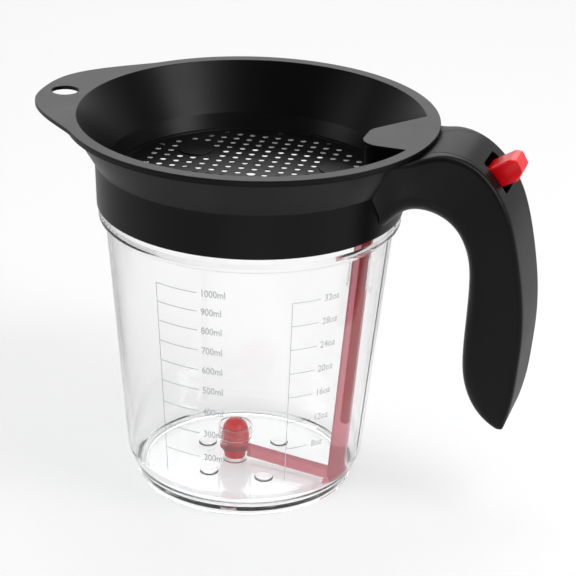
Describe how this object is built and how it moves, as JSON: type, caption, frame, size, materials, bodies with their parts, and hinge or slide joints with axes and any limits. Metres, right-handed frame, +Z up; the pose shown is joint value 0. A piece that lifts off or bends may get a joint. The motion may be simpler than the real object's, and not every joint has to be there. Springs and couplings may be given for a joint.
{
  "type": "gravy fat separator",
  "caption": "Clear measuring jug with a hook handle, lift-off strainer funnel and a thumb button that lifts a red stopper to pour stock from the floor.",
  "frame": {"origin": "jug axis at the table, in the plane of the foot ring", "axes": "+Z up along the jug's axis, +X towards the handle, the hanging tab lies on -X"},
  "size_m": [0.2213, 0.16, 0.1686],
  "materials": {
    "clear_plastic": "clear, polished",
    "black_plastic": "satin",
    "grip_black": "soft touch",
    "red_gloss": "gloss",
    "red_clear": "gloss",
    "red_silicone": "satin",
    "gasket_rubber": "matt",
    "steel": "brushed"
  },
  "bodies": {
    "jug_and_handle": {"jug": "clear_plastic", "rim_gasket": "gasket_rubber", "collar": "black_plastic", "handle_grip": "grip_black", "handle_core": "black_plastic", "handle_spine": "black_plastic", "handle_screws": "steel", "pivot_pin": "steel", "return_spring": "steel", "rod_guide": "clear_plastic"},
    "lever": {"release_lever": "red_gloss", "thumb_button": "red_gloss", "link_pin": "steel"},
    "lifter": {"lift_rod": "red_gloss", "lift_strip": "red_clear", "stopper_arm": "red_clear", "stopper": "red_silicone", "stopper_sleeve": "clear_plastic"},
    "strainer": {"strainer_funnel": "black_plastic", "strainer_plate": "black_plastic"}
  },
  "joints": [
    {"name": "lever_hinge", "type": "hinge", "parent": "jug_and_handle", "child": "lever", "pos_m": [0.0955, 0, 0.1529], "axis": [0, 1, 0], "range_deg": [0, 9.5], "stiffness_Nm_per_rad": 0.25, "springref_deg": -17.19, "deforming": ["return_spring"]},
    {"name": "lift_slide", "type": "slide", "parent": "jug_and_handle", "child": "lifter", "axis": [0.0698, 0, 0.9976], "range_m": [0, 0.0063]},
    {"name": "strainer_lift", "type": "slide", "parent": "jug_and_handle", "child": "strainer", "axis": [0, 0, 1], "range_m": [0, 0.045]}
  ],
  "couplings": [
    {"joint": "lift_slide", "follows": "lever_hinge", "m_per_rad": 0.0378}
  ]
}
